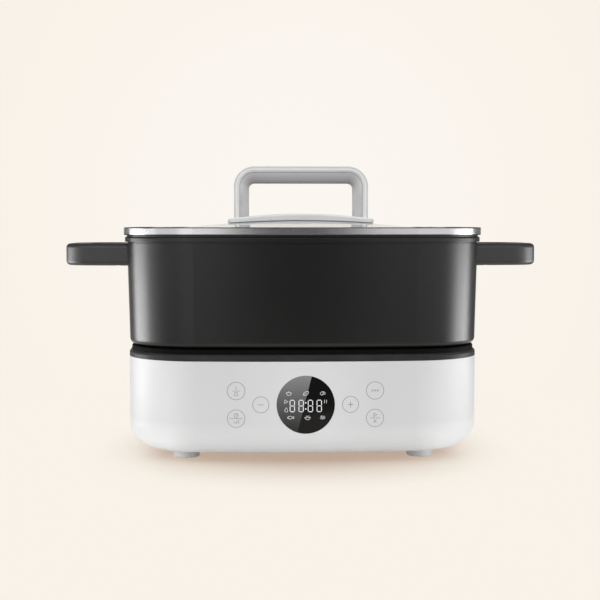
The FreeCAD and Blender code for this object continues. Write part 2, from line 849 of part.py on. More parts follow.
def power_board():
    """Flat board on four standoffs."""
    board = block(power_board_width, power_board_depth, power_board_bottom, power_board_top, 0,
                  power_board_centre_y)
    radius = m3_screw[0] + screw_clearance
    for x, y in power_board_corners():
        board = board.cut(rod(radius, power_board_bottom - over, power_board_top + over, x, y))
    return board


def power_board_screws():
    """Four screws that hold the power board."""
    length = power_board_screw_length
    return [screw_down(m3_screw, power_board_top, length, x, y) for x, y in power_board_corners()]


def board_part(size, place):
    """Boxed component that stands on the power board, at a place measured from the board's middle."""
    width, depth, height = size
    x, dy = place
    box = block(width, depth, power_board_top, power_board_top + height, x, power_board_centre_y + dy)
    return box.makeFillet(board_part_edge, upright_edges(box))


def capacitor():
    """Upright round capacitor."""
    top = power_board_top + capacitor_height
    x, dy = capacitor_place
    body = rod(capacitor_radius, power_board_top, top, x, power_board_centre_y + dy)
    return body.makeFillet(board_part_edge, flat_edges(body, top))


# ---------------------------------------------------------------- pot
def pot_outer():
    """Outside of the pot's wall below the lip: a slight taper with a rounded bottom edge."""
    outer = taper(pot_bottom_grow, pot_bottom, pot_top_grow, pot_lip_bottom)
    return outer.makeFillet(pot_bottom_radius, flat_edges(outer, pot_bottom))


def lug_places():
    """Places along Y of the two lugs on each side."""
    return (-lug_y, lug_y)


def lug_box(side, y, grow):
    """Box of one lug, from inside the pot's wall outwards."""
    inside = pot_side - pot_wall / 2
    outside = pot_side + lug_length + grow
    middle = side_handle_bottom + side_handle_height / 2
    corner = V(min(side * inside, side * outside), y - lug_width / 2 - grow, middle - lug_height / 2 - grow)
    return Part.makeBox(outside - inside, lug_width + 2 * grow, lug_height + 2 * grow, corner)


def lug_screw_x():
    """Distance of the lug screws from the middle of the pot."""
    return pot_side + lug_length / 2


def pot_body():
    """Die-cast pot: tapered wall, grooved lip, raised lid seat, rounded inside, plate seat, four lugs."""
    lip = slab(pot_lip_grow, pot_lip_bottom, pot_lip_top)
    lip = lip.makeFillet(pot_lip_radius, flat_edges(lip, pot_lip_top))
    lip = lip.makeFillet(pot_lip_lower_radius, flat_edges(lip, pot_lip_bottom))
    pot = joined(pot_outer(), lip, slab(pot_seat_grow, pot_lip_top, lid_seat))
    floor = pot_bottom + pot_floor
    rise = (pot_lip_bottom - pot_bottom)
    inner_top = pot_top_grow - pot_wall
    inner_floor = pot_bottom_grow - pot_bottom_wall
    slope = (inner_top - inner_floor) / rise
    room = taper(inner_floor, floor, inner_top + slope, lid_seat + over)
    room = room.makeFillet(pot_inner_radius, flat_edges(room, floor))
    pot = pot.cut(room)
    groove_low = pot_lip_bottom - pot_groove_height
    groove = slab(pot_lip_grow, groove_low, pot_lip_bottom)
    pot = pot.cut(groove.cut(slab(pot_top_grow - pot_groove_depth, groove_low - over, pot_lip_top)))
    for side in (-1, 1):
        for y in lug_places():
            lug = lug_box(side, y, 0)
            pot = pot.fuse(lug.cut(room))
            hole = rod(m4_screw[0], side_handle_bottom, side_handle_bottom + side_handle_height,
                       side * lug_screw_x(), y)
            pot = pot.cut(hole)
    seat = rod(plate_radius + plate_seat_clearance, pot_bottom - over, pot_bottom + plate_seat_depth)
    return pot.cut(seat).removeSplitter()


def side_handle(side):
    """Moulded loop handle: rounded D in plan, finger opening, two pockets for the pot's lugs."""
    low = side_handle_bottom
    high = low + side_handle_height
    root = pot_side - 2 * pot_wall
    end = pot_side + side_handle_reach
    body = prism([(root, -side_handle_root_half), (end, -side_handle_end_half),
                  (end, side_handle_end_half), (root, side_handle_root_half)], low, high)
    outer_corners = [e for e in upright_edges(body) if e.BoundBox.XMin > end - over]
    body = body.makeFillet(side_handle_corner, outer_corners)
    rims = [e for e in flat_edges(body, low) + flat_edges(body, high) if e.BoundBox.XMax > root + over]
    body = body.makeFillet(side_handle_edge, rims)
    grip = end - grip_thickness
    web = pot_side + grip_web
    hole = prism([(web, -grip_opening_root_half), (grip, -grip_opening_end_half),
                  (grip, grip_opening_end_half), (web, grip_opening_root_half)], low - over, high + over)
    hole = hole.makeFillet(grip_opening_corner, upright_edges(hole))
    body = body.cut(hole)
    mouth = []
    for edge in flat_edges(body, low) + flat_edges(body, high):
        box = edge.BoundBox
        between = box.XMin > web - touch and box.XMax < grip + touch
        if between and abs(box.YMax) < grip_opening_root_half + touch:
            mouth.append(edge)
    body = body.makeFillet(grip_opening_edge, mouth)
    for y in lug_places():
        body = body.cut(lug_box(1, y, lug_clearance))
        x = lug_screw_x()
        seat = side_handle_screw_seat()
        body = body.cut(rod(m4_screw[1] + screw_clearance, low - over, seat, x, y))
        body = body.cut(rod(m4_screw[0] + screw_clearance, seat, low + side_handle_height / 2, x, y))
    body = body.cut(pot_outer())
    if side < 0:
        body = body.mirror(V(0, 0, 0), V(1, 0, 0))
    return body


def side_handle_screw_seat():
    """Height at which the lug screws' heads sit, inside the handle's underside."""
    return side_handle_bottom + m4_screw[2] + side_screw_recess


def side_handle_screws():
    """Four screws that go up through the handles into the pot's lugs."""
    seat = side_handle_screw_seat()
    length = side_handle_bottom + side_handle_height / 2 + lug_height / 2 - seat
    screws = []
    for side in (-1, 1):
        for y in lug_places():
            screws.append(screw_up(m4_screw, seat, length, side * lug_screw_x(), y))
    return screws


# ---------------------------------------------------------------- lid
def dome_half(top, radius, blend, rise, low):
    """Half section of a shallow dome that flattens tangentially, closed down to a low level."""
    reach = math.sqrt(2 * (radius + blend) * rise - rise ** 2)
    share = radius / (radius + blend)
    cap_x = reach * share
    cap_z = top - radius + math.sqrt(radius ** 2 - cap_x ** 2)
    cap_mid_z = top - radius + math.sqrt(radius ** 2 - (cap_x / 2) ** 2)
    flat_z = top - rise
    blend_x = (cap_x + reach) / 2
    blend_z = flat_z + blend - math.sqrt(blend ** 2 - (reach - blend_x) ** 2)
    far = outline_width
    cap = Part.Arc(V(0, 0, top), V(cap_x / 2, 0, cap_mid_z), V(cap_x, 0, cap_z)).toShape()
    foot_arc = Part.Arc(V(cap_x, 0, cap_z), V(blend_x, 0, blend_z), V(reach, 0, flat_z)).toShape()
    rest = Part.makePolygon([V(reach, 0, flat_z), V(far, 0, flat_z), V(far, 0, low), V(0, 0, low), V(0, 0, top)])
    wire = Part.Wire([cap, foot_arc] + rest.Edges)
    return Part.Face(wire).revolve(V(0, 0, 0), UP, 360)


def lid_glass():
    """Toughened glass: shallow round dome that flattens towards the rim, with two holes."""
    low = glass_bottom - over
    upper = dome_half(dome_top, dome_radius, dome_blend_radius, dome_rise, low)
    lower = dome_half(dome_top - glass_thickness, dome_radius - glass_thickness,
                      dome_blend_radius + glass_thickness, dome_rise, low - over)
    glass = upper.cut(lower).common(slab(glass_grow, low, dome_top + over))
    for x in (-leg_centre, leg_centre):
        glass = glass.cut(rod(glass_hole_radius, low, dome_top + over, x, 0))
    return glass


def lid_rim():
    """Steel rim folded round the glass edge, with a skirt that drops inside the pot."""
    rim = slab(rim_grow, lid_seat, rim_top)
    rim = rim.makeFillet(rim_edge_radius, flat_edges(rim, lid_seat) + flat_edges(rim, rim_top))
    skirt_grow = pot_top_grow - pot_wall - skirt_clearance
    rim = rim.fuse(slab(skirt_grow, lid_seat - skirt_depth, lid_seat + rim_sheet))
    rim = rim.cut(slab(skirt_grow - rim_sheet, lid_seat - skirt_depth - over, glass_bottom))
    rim = rim.cut(slab(glass_grow, glass_bottom, glass_top))
    return rim.cut(slab(glass_grow - rim_cover, glass_top, rim_top + over)).removeSplitter()


def ball(top, radius):
    """Large ball whose top is at a given height."""
    return Part.makeSphere(radius, V(0, 0, top - radius))


def oval(length, depth, low, high):
    """Upright solid with straight sides and fully rounded ends."""
    body = block(length - depth, depth, low, high)
    for x in (-(length - depth) / 2, (length - depth) / 2):
        body = body.fuse(rod(depth / 2, low, high, x, 0))
    return body.removeSplitter()


def screw_bores(radius, low, high):
    """The two bores for the lid screws."""
    return rod(radius, low, high, -leg_centre, 0).fuse(rod(radius, low, high, leg_centre, 0))


def handle_gasket():
    """Thin silicone pad between the glass and the handle's base plate."""
    length = handle_plate_length - 2 * gasket_inset
    depth = handle_plate_depth - 2 * gasket_inset
    pad = oval(length, depth, glass_bottom, dome_top + over)
    pad = pad.common(ball(dome_top + gasket_thickness, dome_radius + gasket_thickness))
    pad = pad.cut(ball(dome_top, dome_radius))
    return pad.cut(screw_bores(m4_screw[0] + screw_clearance, glass_bottom, arch_top))


def handle_plate():
    """Base plate that follows the dome below and is crowned above."""
    plate = oval(handle_plate_length, handle_plate_depth, glass_bottom, handle_plate_top + over)
    plate = plate.common(ball(handle_plate_top, handle_plate_crown_radius))
    top_edges = [e for e in plate.Edges if e.BoundBox.ZMin > glass_bottom + touch]
    plate = plate.makeFillet(handle_plate_edge, top_edges)
    plate = plate.cut(ball(dome_top + gasket_thickness, dome_radius + gasket_thickness))
    return plate.cut(screw_bores(m4_screw[0] + screw_clearance, glass_bottom, arch_top))


def arch_wire(half_width, top, low, radius, y):
    """Closed wire in a plane of constant y: straight legs and top with two round upper corners."""
    bend = radius * (1 - math.sqrt(0.5))
    right = Part.Arc(V(half_width, y, top - radius), V(half_width - bend, y, top - bend),
                     V(half_width - radius, y, top))
    left = Part.Arc(V(-half_width + radius, y, top), V(-half_width + bend, y, top - bend),
                    V(-half_width, y, top - radius))
    edges = [Part.makeLine(V(-half_width, y, low), V(half_width, y, low)),
             Part.makeLine(V(half_width, y, low), V(half_width, y, top - radius)),
             right.toShape(),
             Part.makeLine(V(half_width - radius, y, top), V(-half_width + radius, y, top)),
             left.toShape(),
             Part.makeLine(V(-half_width, y, top - radius), V(-half_width, y, low))]
    return Part.Wire(edges)


def lid_handle():
    """Arch handle: upright outer band, faces that slope in towards the finger opening."""
    low = glass_bottom
    half = arch_width / 2
    face = arch_depth / 2
    body = Part.Face(arch_wire(half, arch_top, low, arch_outer_radius, -face)).extrude(BACK * arch_depth)
    rims = []
    for edge in body.Edges:
        flat = edge.BoundBox.YLength < touch
        if flat and edge.BoundBox.ZMax > low + over:
            rims.append(edge)
    body = body.makeFillet(arch_edge_radius, rims)
    inner_half = half - arch_leg
    inner_top = arch_top - arch_bar
    hole = arch_wire(inner_half, inner_top, low - over, arch_inner_radius, -face - over)
    body = body.cut(Part.Face(hole).extrude(BACK * (arch_depth + 2)))
    for side in (-1, 1):
        wide = arch_wire(half - arch_band, arch_top - arch_band, low - over, arch_band_radius, side * face)
        deep = arch_wire(inner_half, inner_top, low - over, arch_inner_radius, side * (face - arch_slope_depth))
        body = body.cut(Part.makeLoft([wide, deep], True, True))
    grips = []
    for edge in body.Edges:
        flat = edge.BoundBox.YLength < touch
        if flat and abs(abs(edge.BoundBox.YMin) - face + arch_slope_depth) < touch:
            if edge.BoundBox.ZMax > low + over and edge.BoundBox.XMax < inner_half + touch:
                grips.append(edge)
    body = body.makeFillet(arch_inner_edge_radius, grips)
    body = body.cut(ball(handle_plate_top, handle_plate_crown_radius))
    return body.cut(screw_bores(m4_screw[0], low, washer_bottom() + lid_screw_length + pilot_spare))


def glass_underside(x):
    """Height of the dome's underside on the x axis."""
    radius = dome_radius - glass_thickness
    return dome_top - glass_thickness - radius + math.sqrt(radius ** 2 - x ** 2)


def grommet_bottom():
    """Lowest level of the silicone grommets under the glass."""
    return glass_underside(leg_centre + glass_hole_radius + grommet_flange) - grommet_thickness


def washer_bottom():
    """Underside of the steel washers, where the screw heads sit."""
    return grommet_bottom() - washer_thickness


def lid_grommets():
    """Silicone grommets that line the glass holes and cushion the washers."""
    grommets = []
    below = ball(dome_top - glass_thickness, dome_radius - glass_thickness)
    sleeve_top = ball(dome_top, dome_radius)
    for x in (-leg_centre, leg_centre):
        flange = rod(washer_radius, grommet_bottom(), dome_top, x, 0).common(below)
        sleeve = rod(glass_hole_radius, grommet_bottom(), dome_top, x, 0).common(sleeve_top)
        body = joined(flange, sleeve)
        grommets.append(body.cut(rod(m4_screw[0], grommet_bottom() - over, dome_top + over, x, 0)))
    return grommets


def lid_washers():
    """Steel washers under the grommets."""
    low = washer_bottom()
    return [ring(m4_screw[0], washer_radius, low, low + washer_thickness, x, 0)
            for x in (-leg_centre, leg_centre)]


def lid_screws():
    """Two screws that clamp glass, gasket and base plate to the handle's legs."""
    return [screw_up(m4_screw, washer_bottom(), lid_screw_length, x, 0) for x in (-leg_centre, leg_centre)]


# ---------------------------------------------------------------- write every piece
os.makedirs("parts", exist_ok=True)

save("base_shell", base_shell())
save("bottom_cover", bottom_cover())
for foot_name, (foot_at_x, foot_at_y) in zip(("front_left", "front_right", "rear_left", "rear_right"),
                                             four_ways(foot_x, foot_y)):
    save("foot_" + foot_name, foot(foot_at_x, foot_at_y))
save("housing_screws", *housing_screws())
save("cooking_deck", cooking_deck())
save("heating_plate", heating_plate())
save("heating_element", heating_element())
save("plate_seal", plate_seal())
save("heat_pan", heat_pan())
save("heat_pan_screws", *heat_pan_screws())
save("thermal_cutout", thermal_cutout())
save("thermal_fuse", thermal_fuse())
save("sensor_bracket", sensor_bracket())
save("sensor_bracket_screws", *sensor_bracket_screws())
save("sensor_cap", sensor_cap())
save("sensor_clip", sensor_clip())
save("sensor_spring", sensor_spring())
save("display_window", display_window())
save("led_module", led_module())
save("panel_board", panel_board())
save("panel_board_screws", *panel_board_screws())
save("touch_pads", *touch_pads())
save("power_board", power_board())
save("power_board_screws", *power_board_screws())
save("relay", board_part(relay_size, relay_place))
save("transformer", board_part(transformer_size, transformer_place))
save("connector", board_part(connector_size, connector_place))
save("capacitor", capacitor())
save("inlet_body", inlet_body_solid())
save("inlet_pins", *inlet_pins())
save("pot_body", pot_body())
save("side_handle_left", side_handle(-1))
save("side_handle_right", side_handle(1))
save("side_handle_screws", *side_handle_screws())
save("lid_glass", lid_glass())
save("lid_rim", lid_rim())
save("lid_handle", lid_handle())
save("lid_handle_plate", handle_plate())
save("lid_handle_gasket", handle_gasket())
save("lid_handle_screws", *lid_screws())
save("lid_grommets", *lid_grommets())
save("lid_washers", *lid_washers())
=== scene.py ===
import json
import math

import bmesh
import bpy
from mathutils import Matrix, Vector


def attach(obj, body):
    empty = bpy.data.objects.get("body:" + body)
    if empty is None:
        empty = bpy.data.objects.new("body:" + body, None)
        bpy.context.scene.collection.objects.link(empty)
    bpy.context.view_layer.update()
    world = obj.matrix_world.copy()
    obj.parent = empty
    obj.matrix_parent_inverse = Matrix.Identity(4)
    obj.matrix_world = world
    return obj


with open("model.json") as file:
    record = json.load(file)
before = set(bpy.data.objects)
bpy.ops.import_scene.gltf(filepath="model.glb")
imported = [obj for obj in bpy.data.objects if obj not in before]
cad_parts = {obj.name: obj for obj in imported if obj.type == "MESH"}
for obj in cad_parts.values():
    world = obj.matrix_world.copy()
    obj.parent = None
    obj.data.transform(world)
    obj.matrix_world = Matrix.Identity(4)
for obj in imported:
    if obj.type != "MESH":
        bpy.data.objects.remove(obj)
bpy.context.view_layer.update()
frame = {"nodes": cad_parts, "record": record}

# Everything is in metres, in the frame of the CAD model: +Z up, the controls face -Y.
MM = 0.001

# ---- Sizes shared with the CAD model ----
FRONT_BOW_RADIUS = 880 * MM
HALF_DEPTH = 112 * MM
DECK_TOP = 87.6 * MM
DISPLAY_HEIGHT = 48.6 * MM
KEY_COLUMN = 54.2 * MM
KEY_ROW = 10.8 * MM
KEY_RADIUS = 6.85 * MM
ADJUST_KEY = 35.0 * MM
ADJUST_KEY_RADIUS = 6.3 * MM

# ---- Lid handle ----
# Its parting line is an arch with round upper corners. Outside it lie a pale bead with a painted highlight
# and the band's edge darkened by painted shade, inside it the grip's tone deepens with painted shade across
# the bar.
GRIP_HALF = 52.0 * MM
GRIP_TOP = 232.6 * MM
GRIP_CORNER = 12.2 * MM
GRIP_SHADE_DEPTH = 9.0 * MM
BEAD_CENTRE = 2.6 * MM
BEAD_HALF = 1.1 * MM
BAND_SHADE_EDGE = 3.3 * MM

# ---- Shell ----
# Where the painted shade on its flanks and the painted light in its round corners and along its low band
# begin and end.
SHADED_FLANK_FROM, SHADED_FLANK_TO = 15 * MM, 60 * MM
LIT_CORNER_FROM, LIT_CORNER_TO = 86 * MM, 108 * MM
LIT_LOW_FROM, LIT_LOW_TO = 34 * MM, 8 * MM

# ---- Display lens, its slanted painted reflection, and the turned rings of the heating plate ----
DISPLAY_RADIUS = 22 * MM
REFLECTION_SHIFT = 0.8 * MM
REFLECTION_SLANT = 0.25
TURNING_PITCH = 0.55 * MM

# ---- Prints ----
# How high they stand on the wall, how deep they sink in, their line widths and their places.
PRINT_LIFT = 0.03 * MM
PRINT_SINK = -0.01 * MM
KEY_RING_WIDTH = 0.34 * MM
KEY_STROKE = 0.32 * MM
DISPLAY_STROKE = 0.24 * MM
DIGIT_PLACES = (-10.5 * MM, -3.6 * MM, 3.6 * MM, 10.5 * MM)
DIGIT_WIDTH = 3.5 * MM
DIGIT_HALF_HEIGHT = 4.5 * MM
SEGMENT_HALF = 0.27 * MM
SEGMENT_GAP = 0.26 * MM
DIGIT_DROP = 0.9 * MM
ICON_RISE = 8.9 * MM
ICON_DROP = 10.0 * MM
ICON_COLUMN = 13.2 * MM
FISH_PLACE = -11.8 * MM
BOWL_PLACE = 1.4 * MM

# ---- Camera ----
CAMERA_PLACE = (-0.04023, -1.13557, 0.18932)
CAMERA_PITCH = math.radians(3.297)
CAMERA_YAW = math.radians(1.999)
CAMERA_LENS = 79.46
CAMERA_SENSOR = 36

# ---- Floor ----
# Its tone, the colour of the shade under the object, what matt light meets, and the reach of the painted
# shadow and of the fade.
FLOOR_RADIUS = 0.42
FLOOR_TONE = (0.86, 0.99, 0.98)
FLOOR_SHADE = (0.50, 0.38, 0.30)
FLOOR_BOUNCE = (0.97, 0.97, 0.97)
SHADE_HALF_WIDTH, SHADE_HALF_DEPTH = 165 * MM, 210 * MM
FADE_HALF_WIDTH, FADE_HALF_DEPTH = 95 * MM, 70 * MM
FADE_REACH_X, FADE_REACH_Y = 85 * MM, 170 * MM

# ---- Backdrop and room ----
# The backdrop is cream with a painted pool of light around its middle. The room is grey: below the level, at
# it, overhead and behind the object.
CREAM = (0.943, 0.888, 0.808)
CREAM_LIT_MIDDLE = (0.965, 0.924, 0.874)
CREAM_EDGE = (0.935, 0.880, 0.796)
BACKDROP_MIDDLE = (0.035, 0.018)
ROOM_LOW = (0.14, 0.14, 0.14)
ROOM_LEVEL = (0.06, 0.06, 0.06)
ROOM_TOP = (0.50, 0.50, 0.50)
ROOM_BEHIND = (0.18, 0.18, 0.18)

# ---- Lamps ----
# Name, azimuth and elevation in degrees, distance, width, height, radiance and rays. Azimuth 0 is behind the
# camera, 90 at the photo's left. Each lamp faces the target.
LAMP_TARGET = (0, 0, 0.12)
# which rays meet a lamp: (diffuse, glossy)
BOTH, MATT, GLOSS = (True, True), (True, False), (False, True)
LAMPS = (
    # soft lamps in front
    ("front_left", 23, 18, 1.7, 0.80, 1.7, 1.32, BOTH),
    ("side_left", 51, 18, 1.7, 0.94, 1.7, 0.88, BOTH),
    ("front_right", -42, 18, 1.7, 2.15, 1.7, 0.94, BOTH),
    # fills for the sides, the back and the top, which leave no mark in the gloss
    ("fill_left", 78, 6, 1.6, 0.8, 1.2, 2.7, MATT),
    ("fill_right", -76, 6, 1.6, 0.8, 1.2, 2.5, MATT),
    ("fill_back", 180, 15, 2.0, 2.4, 1.2, 1.1, MATT),
    ("overhead", 0, 86, 1.5, 1.6, 0.8, 0.9, MATT),
    ("back_top", 180, 64, 1.5, 2.2, 1.5, 1.25, MATT),
    # strips that show in the pot's ends, with a step of half tone towards the front
    ("strip_left", 106, -10.8, 1.6, 0.92, 0.60, 8.7, GLOSS),
    ("edge_left", 82, -9.5, 1.6, 0.28, 0.55, 2.1, GLOSS),
    ("lead_left", 71.5, 0, 1.6, 0.28, 1.1, 1.3, BOTH),
    ("strip_right", -98, -10.8, 1.6, 0.90, 0.60, 8.2, GLOSS),
    ("edge_right", -77, -9.5, 1.6, 0.26, 0.55, 2.5, GLOSS),
    # weaker strips above them, which show in the steel rim's ends
    ("rim_left", 106, 4.3, 1.6, 0.92, 0.20, 1.5, GLOSS),
    ("rim_edge_left", 82, 4.3, 1.6, 0.28, 0.20, 1.35, GLOSS),
    ("rim_right", -98, 4.3, 1.6, 0.90, 0.20, 1.45, GLOSS),
    ("rim_edge_right", -77, 4.3, 1.6, 0.26, 0.20, 1.3, GLOSS),
)


# ---------------------------------------------------------------- node helpers
def srgb(value):
    """Linear value of an 8-bit tone."""
    v = value / 255
    return v / 12.92 if v <= 0.04045 else ((v + 0.055) / 1.055) ** 2.4


def grey(value):
    """Linear grey of an 8-bit tone."""
    return (srgb(value), srgb(value), srgb(value))


class Graph:
    """A shader node tree, with short ways to add nodes and join them."""

    def __init__(self, tree):
        self.nodes = tree.nodes
        self.links = tree.links

    def link(self, source, target):
        """Joins an output to an input."""
        self.links.new(source, target)

    def feed(self, socket, value):
        """Sets a socket to a colour or a number, or links it to another node's output."""
        if isinstance(value, tuple):
            socket.default_value = (*value, 1)
        elif isinstance(value, (int, float)):
            socket.default_value = value
        else:
            self.link(value, socket)

    def split(self, vector):
        """The three components of a vector."""
        node = self.nodes.new("ShaderNodeSeparateXYZ")
        self.link(vector, node.inputs["Vector"])
        return node.outputs

    def maths(self, operation, first, second=0.0):
        """One sum on numbers or other nodes' outputs."""
        node = self.nodes.new("ShaderNodeMath")
        node.operation = operation
        for socket, value in zip(node.inputs, (first, second)):
            self.feed(socket, value)
        return node.outputs["Value"]

    def length(self, first, second):
        """Length of a flat vector."""
        squares = [self.maths("MULTIPLY", value, value) for value in (first, second)]
        return self.maths("SQRT", self.maths("ADD", *squares))

    def rescale(self, value, from_low, from_high, to_low=0.0, to_high=1.0, smooth=False):
        """Maps one range to another and stays inside it."""
        node = self.nodes.new("ShaderNodeMapRange")
        if smooth:
            node.interpolation_type = "SMOOTHSTEP"
        limits = {"From Min": from_low, "From Max": from_high, "To Min": to_low, "To Max": to_high}
        for name, number in limits.items():
            node.inputs[name].default_value = number
        self.link(value, node.inputs["Value"])
        return node.outputs["Result"]

    def blend(self, factor, low, high):
        """Colour that goes from low to high with the factor."""
        node = self.nodes.new("ShaderNodeMix")
        node.data_type = "RGBA"
        self.feed(node.inputs["Factor"], factor)
        self.feed(node.inputs[6], low)
        self.feed(node.inputs[7], high)
        return node.outputs[2]

    def rays(self, *kinds):
        """1 for rays of the given kinds, 0 for all others. Only the floor and the world use it."""
        path = self.nodes.new("ShaderNodeLightPath")
        found = path.outputs[kinds[0]]
        for kind in kinds[1:]:
            found = self.maths("MAXIMUM", found, path.outputs[kind])
        return found


class Surface(Graph):
    """A node material around one Principled shader, with short ways to add detail."""

    def __init__(self, name, colour, roughness, metallic=0.0, specular=0.5):
        self.material = bpy.data.materials.new(name)
        self.material.use_nodes = True
        self.material.diffuse_color = (*colour, 1)
        super().__init__(self.material.node_tree)
        self.shader = self.nodes["Principled BSDF"]
        self.shader.inputs["Base Color"].default_value = (*colour, 1)
        self.shader.inputs["Roughness"].default_value = roughness
        self.shader.inputs["Metallic"].default_value = metallic
        self.shader.inputs["Specular IOR Level"].default_value = specular
        self.colour = colour
        self.place = self.nodes.new("ShaderNodeTexCoord").outputs["Object"]

    def axes(self):
        """The three object coordinates."""
        return self.split(self.place)

    def stretched(self, scale):
        """Object coordinates, stretched by a scale on each axis."""
        node = self.nodes.new("ShaderNodeMapping")
        node.inputs["Scale"].default_value = scale
        self.link(self.place, node.inputs["Vector"])
        return node.outputs["Vector"]

    def noise(self, scale, detail=3.0, stretch=None):
        """Soft noise between about 0.3 and 0.7."""
        node = self.nodes.new("ShaderNodeTexNoise")
        node.inputs["Scale"].default_value = scale
        node.inputs["Detail"].default_value = detail
        self.link(self.stretched(stretch) if stretch else self.place, node.inputs["Vector"])
        return node.outputs["Fac"]

    def patches(self, scale, low=0.0, high=1.0):
        """Soft patches that fill the range from low to high."""
        return self.rescale(self.noise(scale, 4.0), 0.3, 0.7, low, high)

    def cells(self, scale):
        """Distance to the nearest of many scattered points."""
        node = self.nodes.new("ShaderNodeTexVoronoi")
        node.inputs["Scale"].default_value = scale
        self.link(self.place, node.inputs["Vector"])
        return node.outputs["Distance"]

    def paint(self, colour):
        """Colour from a node."""
        self.link(colour, self.shader.inputs["Base Color"])
        return self

    def mottle(self, scale, spread):
        """Slow variation of the colour by a share of itself."""
        low = tuple(c * (1 - spread) for c in self.colour)
        high = tuple(min(1, c * (1 + spread)) for c in self.colour)
        return self.paint(self.blend(self.patches(scale), low, high))

    def roughen(self, value):
        """Roughness from a node."""
        self.link(value, self.shader.inputs["Roughness"])
        return self

    def gloss(self, scale, low, high):
        """Roughness that varies between two values."""
        return self.roughen(self.patches(scale, low, high))

    def bump(self, height, depth):
        """Relief of a given depth in metres, over any that is there."""
        node = self.nodes.new("ShaderNodeBump")
        node.inputs["Distance"].default_value = depth
        self.link(height, node.inputs["Height"])
        normal = self.shader.inputs["Normal"]
        if normal.is_linked:
            self.link(normal.links[0].from_socket, node.inputs["Normal"])
        self.link(node.outputs["Normal"], normal)
        return self

    def set(self, **values):
        """Plain values on the shader's own sockets."""
        for name, value in values.items():
            self.shader.inputs[name.replace("_", " ")].default_value = value
        return self


# ---------------------------------------------------------------- materials
def shell_white():
    """White shell with painted light and shade: a trace paler towards its lower edge, more so in its round
    corners there, and darker on its flanks.
    """
    s = Surface("shell_white", grey(214), 0.45, specular=0.25)
    x, _, z = s.axes()
    aside = s.maths("ABSOLUTE", x)
    low = s.rescale(z, LIT_LOW_FROM, LIT_LOW_TO)
    corner = s.rescale(aside, LIT_CORNER_FROM, LIT_CORNER_TO)
    # painted shade: the flanks are darker, except in the round corners
    shaded_flank = s.rescale(aside, SHADED_FLANK_FROM, SHADED_FLANK_TO)
    shaded_flank = s.maths("MULTIPLY", shaded_flank, s.maths("SUBTRACT", 1.0, corner))
    tone = s.blend(s.patches(14), grey(212), grey(215))
    tone = s.blend(shaded_flank, tone, grey(206))
    # painted light: paler towards the lower edge, palest in the round corners there
    s.paint(s.blend(low, tone, s.blend(corner, grey(225), grey(244)))).gloss(60, 0.41, 0.49)
    return s.bump(s.noise(2600, 2.0), 0.012 * MM).bump(s.noise(9, 2.0), 0.06 * MM)


def cover_grey():
    """Plain moulded plastic of the bottom cover, with an eroded grain."""
    s = Surface("cover_grey", grey(168), 0.5)
    s.mottle(40, 0.06).gloss(220, 0.44, 0.56)
    return s.bump(s.noise(2200, 3.0), 0.03 * MM)


def pot_black():
    """Satin coating with faint level drawing lines."""
    s = Surface("pot_black", grey(14), 0.29, specular=0.44)
    s.mottle(160, 0.10).gloss(420, 0.28, 0.33)
    s.bump(s.noise(1.0, 3.0, (60, 60, 2600)), 0.006 * MM)
    return s.bump(s.noise(3200, 2.0), 0.005 * MM)


def handle_black():
    """Grained satin plastic of the pot's side handles."""
    s = Surface("handle_black", grey(16), 0.44, specular=0.82)
    s.mottle(90, 0.12).gloss(300, 0.41, 0.48)
    return s.bump(s.noise(2400, 3.0), 0.022 * MM)


def deck_black():
    """Satin outside band. The ledge above it and the field inside are duller, and darker by painted shade."""
    s = Surface("deck_black", grey(44), 0.40, specular=0.12)
    upper = s.rescale(s.axes()["Z"], DECK_TOP - 0.4 * MM, DECK_TOP + 0.2 * MM)
    # painted shade: near black above the band's top
    s.paint(s.blend(upper, s.blend(s.patches(60), grey(42), grey(51)), grey(6)))
    s.roughen(s.maths("ADD", s.patches(200, 0.36, 0.46), s.maths("MULTIPLY", upper, 0.4)))
    return s.bump(s.noise(2000, 3.0), 0.03 * MM)


def brushed_steel():
    """Steel brushed along the rim, with painted shade on the rolled edges above and below the band."""
    s = Surface("rim_steel", (0.57, 0.57, 0.57), 0.16, metallic=1.0)
    brush = s.noise(1.0, 4.0, (40, 40, 9000))
    s.roughen(s.rescale(brush, 0.3, 0.7, 0.18, 0.25))
    normal = s.split(s.nodes.new("ShaderNodeNewGeometry").outputs["Normal"])
    tilt = s.maths("ABSOLUTE", normal["Z"])
    level = s.rescale(tilt, 0.985, 0.999, 1.0, 0.0)
    # painted shade: faces tilted between the upright band and the flat top or bottom are painted near black
    rolled = s.maths("MULTIPLY", s.rescale(tilt, 0.10, 0.32), level)
    steel = s.blend(s.noise(45, 3.0), (0.54, 0.54, 0.54), (0.60, 0.60, 0.60))
    return s.paint(s.blend(rolled, steel, (0.08, 0.08, 0.085))).bump(brush, 0.002 * MM)


def handle_light():
    """Pale satin plastic of the base plate."""
    s = Surface("handle_light", grey(232), 0.30, specular=0.5)
    s.mottle(30, 0.03).gloss(150, 0.27, 0.34)
    return s.bump(s.noise(1800, 2.0), 0.008 * MM)


